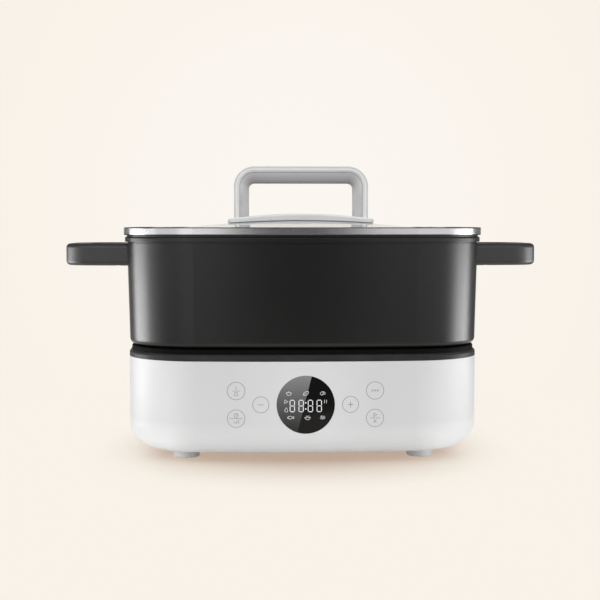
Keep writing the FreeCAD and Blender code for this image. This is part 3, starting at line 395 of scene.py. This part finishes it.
def handle_grey():
    """Light outer band with a painted highlight on its pale crown and painted shade at its outer edge. The
    grip inside it is darker, behind a fine parting line, and its bar darkens inwards with painted shade.
    """
    s = Surface("handle_grey", grey(240), 0.29, specular=0.5)
    x, _, z = s.axes()
    across = s.maths("SUBTRACT", s.maths("ABSOLUTE", x), GRIP_HALF - GRIP_CORNER)
    above = s.maths("SUBTRACT", z, GRIP_TOP - GRIP_CORNER)
    # distance from the parting line, positive towards the outside
    corner = s.length(s.maths("MAXIMUM", across, 0), s.maths("MAXIMUM", above, 0))
    inner = s.maths("MINIMUM", s.maths("MAXIMUM", across, above), 0)
    edge = s.maths("SUBTRACT", s.maths("ADD", corner, inner), GRIP_CORNER)
    grip = s.rescale(edge, -0.15 * MM, 0.05 * MM, 1.0, 0.0)
    line = s.rescale(s.maths("ABSOLUTE", edge), 0.1 * MM, 0.5 * MM, 1.0, 0.0)
    bead_and_highlight = s.maths("DIVIDE", s.maths("SUBTRACT", edge, BEAD_CENTRE), BEAD_HALF)
    bead_and_highlight = s.maths("SUBTRACT", 1.0, s.maths("MINIMUM", s.maths("MULTIPLY", bead_and_highlight, bead_and_highlight), 1.0))
    # painted highlight: the bead is painted nearly white
    band_tone = s.blend(bead_and_highlight, s.blend(s.patches(30), grey(229), grey(234)), grey(252))
    # painted shade along the band's outer edge
    band_tone = s.blend(s.rescale(edge, BAND_SHADE_EDGE, BAND_SHADE_EDGE + 0.6 * MM), band_tone, grey(202))
    # painted shade: the bar of the grip darkens towards its opening
    inward_shade = s.rescale(s.maths("MULTIPLY", edge, -1), 0.5 * MM, GRIP_SHADE_DEPTH)
    bar_shade = s.blend(inward_shade, grey(222), grey(156))
    leg_tone = s.blend(s.patches(160), grey(193), grey(199))
    grip_tone = s.blend(s.rescale(above, -8 * MM, 2 * MM), leg_tone, bar_shade)
    s.paint(s.blend(line, s.blend(grip, band_tone, grip_tone), grey(165))).gloss(150, 0.27, 0.34)
    s.bump(s.noise(1800, 2.0), 0.008 * MM).bump(s.maths("SUBTRACT", 1.0, line), 0.12 * MM)
    return s.bump(bead_and_highlight, 0.4 * MM)


def lid_glass():
    """Clear glass with faint cloudy patches."""
    s = Surface("lid_glass", (0.93, 0.965, 0.95), 0.01)
    s.set(Transmission_Weight=1.0, IOR=1.5)
    s.roughen(s.rescale(s.noise(35, 5.0), 0.45, 0.75, 0.0, 0.035))
    return s.bump(s.noise(14, 1.0), 0.03 * MM)


def gasket_clear():
    """Milky, slightly clear silicone."""
    s = Surface("gasket_clear", grey(205), 0.38)
    s.set(Transmission_Weight=0.35, Subsurface_Weight=0.2, Subsurface_Scale=0.002)
    s.gloss(300, 0.32, 0.46)
    return s.bump(s.noise(1500, 2.0), 0.02 * MM)


def foot_silicone():
    """Pale soft rubber."""
    s = Surface("foot_silicone", grey(250), 0.45)
    s.mottle(120, 0.02).gloss(400, 0.44, 0.58)
    return s.bump(s.noise(1700, 3.0), 0.03 * MM)


def seal_black():
    """Dull black rubber."""
    s = Surface("seal_black", grey(30), 0.62)
    s.mottle(200, 0.15).gloss(500, 0.55, 0.7)
    return s.bump(s.noise(1500, 3.0), 0.03 * MM)


def turned_aluminium():
    """Cast plate: fine turned rings on the upper face, sandy casting skin elsewhere."""
    s = Surface("plate_aluminium", (0.30, 0.30, 0.305), 0.42, metallic=0.85)
    x, y, _ = s.axes()
    groove = s.maths("SINE", s.maths("MULTIPLY", s.length(x, y), 2 * math.pi / TURNING_PITCH))
    rings = s.maths("ADD", s.maths("MULTIPLY", groove, 0.5), s.noise(700, 3.0))
    s.paint(s.blend(s.noise(60, 4.0), (0.25, 0.25, 0.255), (0.36, 0.36, 0.365)))
    s.roughen(s.rescale(rings, 0.0, 1.5, 0.34, 0.50))
    s.bump(rings, 0.02 * MM)
    return s.bump(s.noise(2500, 2.0), 0.01 * MM)


def metal(name, colour, roughness, patch=80):
    """Plain sheet or turned metal with a fine rolled grain."""
    s = Surface(name, colour, roughness, metallic=1.0)
    s.mottle(patch, 0.10).gloss(300, roughness - 0.08, roughness + 0.10)
    return s.bump(s.noise(1.0, 3.0, (250, 2600, 250)), 0.01 * MM)


def element_steel():
    """Swaged tube with the straw and blue tints of heating."""
    s = Surface("element_steel", (0.36, 0.34, 0.31), 0.38, metallic=1.0)
    tint = s.rescale(s.noise(30, 3.0), 0.35, 0.7)
    s.paint(s.blend(tint, (0.40, 0.36, 0.30), (0.24, 0.25, 0.32))).gloss(400, 0.3, 0.48)
    return s.bump(s.noise(1600, 3.0), 0.02 * MM)


def board_green():
    """Solder mask over copper tracks, with bare pads."""
    s = Surface("board_green", (0.01, 0.10, 0.03), 0.35)
    tracks = s.nodes.new("ShaderNodeTexBrick")
    tracks.inputs["Scale"].default_value = 160
    tracks.inputs["Mortar Size"].default_value = 0.035
    for name, value in (("Color1", 0.0), ("Color2", 0.12), ("Mortar", 1.0)):
        tracks.inputs[name].default_value = (value, value, value, 1)
    s.link(s.place, tracks.inputs["Vector"])
    pads = s.rescale(s.cells(330), 0.10, 0.14, 1.0, 0.0)
    base = s.blend(tracks.outputs["Color"], (0.008, 0.085, 0.028), (0.02, 0.16, 0.05))
    s.paint(s.blend(pads, base, (0.50, 0.48, 0.42))).gloss(200, 0.28, 0.44)
    return s.bump(tracks.outputs["Color"], 0.04 * MM)


def coloured(name, colour, roughness=0.45):
    """Moulded or wound component in one colour, with a fine grain."""
    s = Surface(name, colour, roughness)
    s.mottle(120, 0.10).gloss(260, roughness - 0.08, roughness + 0.10)
    return s.bump(s.noise(1900, 3.0), 0.03 * MM)


def display_black():
    """Dark lens: clear gloss at the lower right, a painted reflection at the upper left, a paler band that
    fades down.
    """
    s = Surface("window_black", grey(16), 0.08, specular=0.18)
    x, _, z = s.axes()
    height = s.maths("SUBTRACT", z, DISPLAY_HEIGHT)
    edge = s.maths("SUBTRACT", s.maths("ADD", -REFLECTION_SHIFT, s.maths("MULTIPLY", height, REFLECTION_SLANT)), x)
    inside = s.rescale(edge, 0.0, 0.3 * MM)
    fade = s.rescale(height, -DISPLAY_RADIUS, DISPLAY_RADIUS, 0.27, 1.0)
    painted_reflection = s.maths("MULTIPLY", inside, s.maths("MULTIPLY", fade, fade))
    # painted reflection: paler left of a slanted line, fading downwards
    s.paint(s.blend(painted_reflection, grey(17), grey(134))).gloss(90, 0.05, 0.11)
    return s.bump(s.noise(40, 2.0), 0.004 * MM)


def print_grey():
    """Grey ink of the key prints."""
    s = Surface("print_grey", grey(108), 0.5)
    s.mottle(900, 0.05).gloss(900, 0.44, 0.58)
    return s.bump(s.noise(4000, 2.0), 0.006 * MM)


def display_light():
    """Lit segments and marks of the display."""
    s = Surface("display_light", grey(222), 0.5, specular=0.2)
    s.mottle(700, 0.05)
    s.set(Emission_Color=(0.85, 0.88, 0.90, 1), Emission_Strength=0.30)
    return s.bump(s.noise(3000, 2.0), 0.005 * MM)


SLOT_LOOKS = {
    "shell_white": shell_white(),
    "cover_grey": cover_grey(),
    "foot_silicone": foot_silicone(),
    "deck_black": deck_black(),
    "plate_aluminium": turned_aluminium(),
    "element_steel": element_steel(),
    "seal_black": seal_black(),
    "sheet_steel": metal("sheet_steel", (0.56, 0.56, 0.55), 0.34),
    "screw_steel": metal("screw_steel", (0.50, 0.50, 0.50), 0.32, patch=300),
    "sensor_steel": metal("sensor_steel", (0.60, 0.60, 0.59), 0.26),
    "part_black": coloured("part_black", grey(34)),
    "part_white": coloured("part_white", grey(216)),
    "window_black": display_black(),
    "board_green": board_green(),
    "relay_blue": coloured("relay_blue", (0.03, 0.12, 0.42)),
    "transformer_yellow": coloured("transformer_yellow", (0.62, 0.42, 0.08)),
    "pad_grey": coloured("pad_grey", grey(92), 0.7),
    "inlet_black": coloured("inlet_black", grey(28), 0.4),
    "pin_brass": metal("pin_brass", (0.62, 0.52, 0.32), 0.26, patch=300),
    "pot_black": pot_black(),
    "handle_black": handle_black(),
    "lid_glass": lid_glass(),
    "rim_steel": brushed_steel(),
    "handle_grey": handle_grey(),
    "gasket_clear": gasket_clear(),
}

# Nodes that share a slot with a two-tone piece and are plain themselves.
NODE_LOOKS = {"lid_handle_plate": handle_light()}


def paint_nodes():
    """Gives each CAD node the look of the material slot that the record names for it."""
    slots = {piece["node"]: piece["material_slot"] for piece in frame["record"]["subparts"]}
    for name, node in frame["nodes"].items():
        look = NODE_LOOKS.get(name, SLOT_LOOKS[slots[name]]).material
        if not node.material_slots:
            node.data.materials.append(look)
        for slot in node.material_slots:
            slot.material = look


paint_nodes()


# ---------------------------------------------------------------- prints on the bowed front
def front(x, z, lift):
    """Point on the bowed front wall, lifted off it."""
    radius = FRONT_BOW_RADIUS + lift
    return (x, FRONT_BOW_RADIUS - HALF_DEPTH - math.sqrt(radius ** 2 - x ** 2), z)


def side_points(points, half, closed):
    """Points offset to both sides of a flat line, with mitred corners."""
    left, right = [], []
    count = len(points)
    for index in range(count):
        before = points[index - 1] if closed or index > 0 else None
        after = points[(index + 1) % count] if closed or index < count - 1 else None
        here = Vector(points[index])
        arms = []
        if before is not None:
            arms.append((here - Vector(before)).normalized())
        if after is not None:
            arms.append((Vector(after) - here).normalized())
        along = sum(arms, Vector((0, 0))).normalized()
        across = Vector((-along.y, along.x))
        # a sharp corner is mitred to twice the half width at most
        stretch = 1 / max(0.5, abs(along.dot(arms[0])))
        left.append(here + across * half * stretch)
        right.append(here - across * half * stretch)
    return left, right


class Print:
    """Thin raised marks on the bowed front, gathered in one mesh."""

    def __init__(self, name):
        self.name = name
        self.mesh = bmesh.new()

    def solid(self, left, right, closed):
        """Closed thin solid between two rows of (x, z) points."""
        count = len(left)
        rings = []
        for a, b in zip(left, right):
            rings.append([self.mesh.verts.new(front(p.x, p.y, lift)) for p, lift in
                          ((a, PRINT_LIFT), (b, PRINT_LIFT), (b, PRINT_SINK), (a, PRINT_SINK))])
        pairs = [(i, (i + 1) % count) for i in range(count if closed else count - 1)]
        for i, j in pairs:
            for k in range(4):
                m = (k + 1) % 4
                self.mesh.faces.new((rings[i][k], rings[i][m], rings[j][m], rings[j][k]))
        if not closed:
            self.mesh.faces.new(rings[0][::-1])
            self.mesh.faces.new(rings[-1])

    def line(self, points, width, closed=False):
        """Stroke along a row of points."""
        self.solid(*side_points(points, width / 2, closed), closed)

    def ring(self, x, z, radius, width, count=72):
        """Stroke around a circle."""
        angles = [2 * math.pi * index / count for index in range(count)]
        points = [(x + radius * math.cos(angle), z + radius * math.sin(angle)) for angle in angles]
        self.line(points, width, closed=True)

    def patch(self, corners):
        """Filled convex shape."""
        top = [self.mesh.verts.new(front(x, z, PRINT_LIFT)) for x, z in corners]
        low = [self.mesh.verts.new(front(x, z, PRINT_SINK)) for x, z in corners]
        self.mesh.faces.new(top)
        self.mesh.faces.new(low[::-1])
        count = len(corners)
        for i in range(count):
            j = (i + 1) % count
            self.mesh.faces.new((top[j], top[i], low[i], low[j]))

    def finish(self, look, body):
        """Makes the piece and hands it to its body."""
        bmesh.ops.recalc_face_normals(self.mesh, faces=self.mesh.faces)
        data = bpy.data.meshes.new(self.name)
        self.mesh.to_mesh(data)
        self.mesh.free()
        piece = bpy.data.objects.new(self.name, data)
        bpy.context.scene.collection.objects.link(piece)
        data.materials.append(look.material)
        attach(piece, body)


def shifted(points, x, z):
    """Points given in millimetres around a place on the front."""
    return [(x + px * MM, z + pz * MM) for px, pz in points]


def key_prints():
    """Thin rings and plain symbols of the six touch keys."""
    marks = Print("key_prints")
    stroke, bold = KEY_STROKE, KEY_STROKE * 1.25
    upper, lower = DISPLAY_HEIGHT + KEY_ROW, DISPLAY_HEIGHT - KEY_ROW
    for x in (-KEY_COLUMN, KEY_COLUMN):
        for z in (upper, lower):
            marks.ring(x, z, KEY_RADIUS, KEY_RING_WIDTH)
    for x in (-ADJUST_KEY, ADJUST_KEY):
        marks.ring(x, DISPLAY_HEIGHT, ADJUST_KEY_RADIUS, KEY_RING_WIDTH)
        marks.line(shifted([(-2.2, 0), (2.2, 0)], x, DISPLAY_HEIGHT), bold)
    for sign in (-1, 1):
        marks.line(shifted([(0, sign * 0.2), (0, sign * 2.2)], ADJUST_KEY, DISPLAY_HEIGHT), bold)
    # on over off: a bar and a circle with a line between them
    marks.line(shifted([(-2.8, 0), (2.8, 0)], -KEY_COLUMN, upper), stroke)
    marks.line(shifted([(0, 1.1), (0, 3.9)], -KEY_COLUMN, upper), stroke)
    marks.ring(-KEY_COLUMN, upper - 2.5 * MM, 1.35 * MM, stroke, 32)
    # time over power: a clock and three rising bars
    marks.line(shifted([(-5.2, 0), (5.2, 0)], -KEY_COLUMN, lower), stroke)
    marks.ring(-KEY_COLUMN, lower + 2.5 * MM, 1.6 * MM, stroke, 36)
    marks.line(shifted([(0, 3.5), (0, 2.5), (0.8, 2.5)], -KEY_COLUMN, lower), stroke * 0.8)
    for x, high in ((-1.6, -2.6), (0, -1.9), (1.6, -1.2)):
        marks.line(shifted([(x, -3.9), (x, high)], -KEY_COLUMN, lower), stroke * 1.4)
    # mode: a short row of three dots
    for x in (-2.2, 0, 2.2):
        marks.ring(KEY_COLUMN + x * MM, upper, 0.62 * MM, stroke * 0.9, 24)
    # start over cancel: a triangle and a cross
    marks.line(shifted([(-4.0, 0), (4.0, 0)], KEY_COLUMN, lower), stroke)
    marks.line(shifted([(-1.0, 1.1), (1.5, 2.5), (-1.0, 3.9)], KEY_COLUMN, lower), stroke, closed=True)
    marks.line(shifted([(-1.2, -3.7), (1.2, -1.3)], KEY_COLUMN, lower), stroke)
    marks.line(shifted([(-1.2, -1.3), (-0.15, -2.35)], KEY_COLUMN, lower), stroke)
    marks.line(shifted([(0.15, -2.65), (1.2, -3.7)], KEY_COLUMN, lower), stroke)
    marks.finish(print_grey(), "base")


def segment(x0, z0, x1, z1, half):
    """Six-cornered bar of a seven-segment digit."""
    if abs(x1 - x0) > abs(z1 - z0):
        return [(x0, z0), (x0 + half, z0 + half), (x1 - half, z0 + half),
                (x1, z0), (x1 - half, z0 - half), (x0 + half, z0 - half)]
    return [(x0, z0), (x0 - half, z0 + half), (x0 - half, z1 - half),
            (x0, z1), (x0 + half, z1 - half), (x0 + half, z0 + half)]


def display_marks():
    """Digits, their colon, small signs beside them and two rows of plain food pictograms."""
    marks = Print("display_marks")
    middle = DISPLAY_HEIGHT - DIGIT_DROP
    tall, half, gap = DIGIT_HALF_HEIGHT, SEGMENT_HALF, SEGMENT_GAP
    for x in DIGIT_PLACES:
        left, right = x - DIGIT_WIDTH / 2, x + DIGIT_WIDTH / 2
        for level in (-tall, 0, tall):
            marks.patch(segment(left + gap, middle + level, right - gap, middle + level, half))
        for side in (left, right):
            marks.patch(segment(side, middle + gap, side, middle + tall - gap, half))
            marks.patch(segment(side, middle - tall + gap, side, middle - gap, half))
    # the colon
    for z in (2.4, -2.4):
        marks.ring(0, middle + z * MM, 0.28 * MM, 0.5 * MM, 16)
    stroke = DISPLAY_STROKE
    # a triangle and a flame on the digits' left, two bars on their right
    marks.line(shifted([(-16.4, 2.0), (-13.9, 3.4), (-16.4, 4.8)], 0, middle), stroke, closed=True)
    flame = [(-15.2, -1.3), (-14.5, -2.3), (-13.9, -3.3), (-14.3, -4.4), (-15.2, -4.9), (-16.1, -4.4),
             (-16.5, -3.3), (-15.9, -2.4)]
    marks.line(shifted(flame, 0, middle), stroke, closed=True)
    for x in (14.6, 16.2):
        marks.line(shifted([(x, 2.0), (x, 4.8)], 0, middle), stroke)
    top, low = DISPLAY_HEIGHT + ICON_RISE, DISPLAY_HEIGHT - ICON_DROP
    # upper row: pan, leaf, chop
    pan = [(-1.6, 0.7), (-1.6, -0.9), (-1.1, -1.4), (1.1, -1.4), (1.6, -0.9), (1.6, 0.7)]
    marks.line(shifted(pan, -ICON_COLUMN, top), stroke, closed=True)
    for part in ([(-2.4, 0.3), (-1.75, 0.3)], [(1.75, 0.3), (2.4, 0.3)], [(-0.5, 1.3), (0.5, 1.3)]):
        marks.line(shifted(part, -ICON_COLUMN, top), stroke)
    leaf = [(-2.0, -1.3), (-1.6, 0.2), (-0.5, 1.2), (1.0, 1.5), (2.1, 1.4), (2.0, 0.3), (1.3, -0.8),
            (0.1, -1.5), (-1.2, -1.5)]
    marks.line(shifted(leaf, 0, top), stroke, closed=True)
    marks.line(shifted([(-1.5, -1.1), (0.9, 0.6)], 0, top), stroke * 0.8)
    chop = [(-1.9, -0.4), (-1.4, 0.9), (-0.2, 1.4), (1.2, 1.1), (2.0, 0.2), (1.5, -0.9), (0.3, -0.8),
            (-0.8, -1.4)]
    marks.line(shifted(chop, ICON_COLUMN, top), stroke, closed=True)
    marks.ring(ICON_COLUMN + 0.4 * MM, top + 0.25 * MM, 0.45 * MM, stroke * 0.9, 16)
    # lower row: fish, steaming bowl, three sliders
    fish = [(-2.6, 0.0), (-1.6, 0.9), (-0.3, 1.2), (0.9, 0.7), (1.6, 0.1), (2.5, 1.0), (2.5, -1.0),
            (1.6, -0.1), (0.9, -0.7), (-0.3, -1.2), (-1.6, -0.9)]
    marks.line(shifted(fish, FISH_PLACE, low), stroke, closed=True)
    marks.ring(FISH_PLACE - 1.6 * MM, low + 0.1 * MM, 0.18 * MM, stroke * 0.9, 12)
    bowl = [(-2.2, 0.1), (-1.8, -0.9), (-0.9, -1.6), (0.9, -1.6), (1.8, -0.9), (2.2, 0.1)]
    marks.line(shifted(bowl, BOWL_PLACE, low), stroke, closed=True)
    for x in (-0.9, 0.1, 1.1):
        marks.line(shifted([(x, 0.5), (x + 0.25, 1.0), (x, 1.5)], BOWL_PLACE, low), stroke * 0.9)
    for z, knob in ((1.0, -0.8), (0.0, 0.9), (-1.0, -0.2)):
        marks.line(shifted([(-1.9, z), (knob - 0.45, z)], ICON_COLUMN, low), stroke * 0.8)
        marks.line(shifted([(knob + 0.45, z), (1.9, z)], ICON_COLUMN, low), stroke * 0.8)
        marks.ring(ICON_COLUMN + knob * MM, low + z * MM, 0.32 * MM, stroke * 0.8, 16)
    marks.finish(display_light(), "base")


key_prints()
display_marks()


# ---------------------------------------------------------------- stage
def floor():
    """Round pale floor with a warm, soft shadow, partly cast and partly painted, which fades into the
    backdrop's colour further out.
    """
    mesh = bmesh.new()
    bmesh.ops.create_circle(mesh, cap_ends=True, radius=FLOOR_RADIUS, segments=96)
    data = bpy.data.meshes.new("floor")
    mesh.to_mesh(data)
    mesh.free()
    piece = bpy.data.objects.new("floor", data)
    bpy.context.scene.collection.objects.link(piece)
    s = Surface("floor_paper", FLOOR_TONE, 0.9, specular=0.0)
    s.bump(s.noise(900, 3.0), 0.02 * MM)
    x, y, _ = s.axes()
    seen = s.rays("Is Camera Ray", "Is Transmission Ray", "Is Glossy Ray")
    # 0 under the object, 1 where only the backdrop's colour is left
    over = []
    for axis, half, reach in ((x, FADE_HALF_WIDTH, FADE_REACH_X), (y, FADE_HALF_DEPTH, FADE_REACH_Y)):
        beyond = s.maths("SUBTRACT", s.maths("ABSOLUTE", axis), half)
        over.append(s.maths("DIVIDE", s.maths("MAXIMUM", beyond, 0), reach))
    far = s.rescale(s.length(*over), 0.25, 1.0)
    # painted shadow: the floor's own colour comes in from the middle of the shade outwards
    around = s.length(s.maths("DIVIDE", x, SHADE_HALF_WIDTH), s.maths("DIVIDE", y, SHADE_HALF_DEPTH))
    soft = s.maths("POWER", s.rescale(around, 0.36, 1.0), 0.6)
    s.paint(s.blend(seen, FLOOR_BOUNCE, s.blend(soft, (0.0, 0.0, 0.0), FLOOR_TONE)))

    def glow(colour):
        node = s.nodes.new("ShaderNodeEmission")
        s.feed(node.inputs["Color"], colour)
        return node.outputs["Emission"]

    def mix(factor, first, second):
        node = s.nodes.new("ShaderNodeMixShader")
        s.link(factor, node.inputs["Fac"])
        s.link(first, node.inputs[1])
        s.link(second, node.inputs[2])
        return node.outputs["Shader"]

    # half matt floor, half its shade's own colour at double strength
    shade = glow(tuple(2 * c for c in FLOOR_SHADE))
    near = mix(s.maths("MULTIPLY", seen, 0.5), s.shader.outputs["BSDF"], shade)
    whole = mix(s.maths("MULTIPLY", far, seen), near, glow(CREAM))
    s.link(whole, s.nodes["Material Output"].inputs["Surface"])
    data.materials.append(s.material)


def surroundings():
    """World: a dim room that lights the object, and the cream backdrop that camera and glass see."""
    world = bpy.data.worlds.new("studio")
    world.use_nodes = True
    bpy.context.scene.world = world
    g = Graph(world.node_tree)
    x, y, z = g.split(g.nodes.new("ShaderNodeTexCoord").outputs["Generated"])

    def ramp(value, low, high, to_low=0.0, to_high=1.0):
        return g.rescale(value, low, high, to_low, to_high, smooth=True)

    room = g.blend(ramp(z, 0.0, 0.9), ROOM_LEVEL, ROOM_TOP)
    room = g.blend(ramp(y, 0.1, 0.6), room, ROOM_BEHIND)
    room = g.blend(ramp(z, -0.06, 0.02), ROOM_LOW, room)
    # a painted pool of light around the middle of the view, one even cream below the level
    aside, up = g.maths("SUBTRACT", x, BACKDROP_MIDDLE[0]), g.maths("SUBTRACT", z, BACKDROP_MIDDLE[1])
    spread = g.length(aside, up)
    paper = g.blend(ramp(spread, 0.02, 0.30), CREAM_LIT_MIDDLE, CREAM_EDGE)
    paper = g.blend(ramp(z, -0.20, -0.10, 1.0, 0.0), paper, CREAM)
    # reflections show the backdrop only where it stands, right behind the object
    card = g.maths("MULTIPLY", g.rays("Is Glossy Ray"), ramp(y, 0.90, 0.96))
    direct = g.rays("Is Camera Ray", "Is Transmission Ray")
    back = g.nodes["Background"]
    g.link(g.blend(g.maths("MAXIMUM", direct, card), room, paper), back.inputs["Color"])
    back.inputs["Strength"].default_value = 1.0


def softbox(name, azimuth, elevation, distance, width, height, radiance, rays):
    """Rectangular light that faces the object and that the camera doesn't see."""
    light = bpy.data.lights.new(name, "AREA")
    light.shape = "RECTANGLE"
    light.size = width
    light.size_y = height
    light.energy = radiance * math.pi * width * height
    lamp = bpy.data.objects.new(name, light)
    bpy.context.scene.collection.objects.link(lamp)
    a, e = math.radians(azimuth), math.radians(elevation)
    away = Vector((-math.sin(a) * math.cos(e), -math.cos(a) * math.cos(e), math.sin(e)))
    lamp.location = Vector(LAMP_TARGET) + away * distance
    lamp.rotation_mode = "QUATERNION"
    lamp.rotation_quaternion = away.to_track_quat("Z", "Y")
    lamp.visible_camera = False
    lamp.visible_diffuse, lamp.visible_glossy = rays
    lamp.visible_transmission = all(rays)


def camera():
    """The photo's camera, fitted to its edges."""
    data = bpy.data.cameras.new("camera")
    data.sensor_fit = "HORIZONTAL"
    data.sensor_width = CAMERA_SENSOR
    data.lens = CAMERA_LENS
    data.clip_start = 0.05
    data.clip_end = 50
    piece = bpy.data.objects.new("camera", data)
    bpy.context.scene.collection.objects.link(piece)
    piece.location = CAMERA_PLACE
    piece.rotation_euler = (math.pi / 2 - CAMERA_PITCH, 0, -CAMERA_YAW)
    bpy.context.scene.camera = piece


floor()
surroundings()
for row in LAMPS:
    softbox(*row)
camera()
bpy.context.scene.view_settings.view_transform = "Standard"
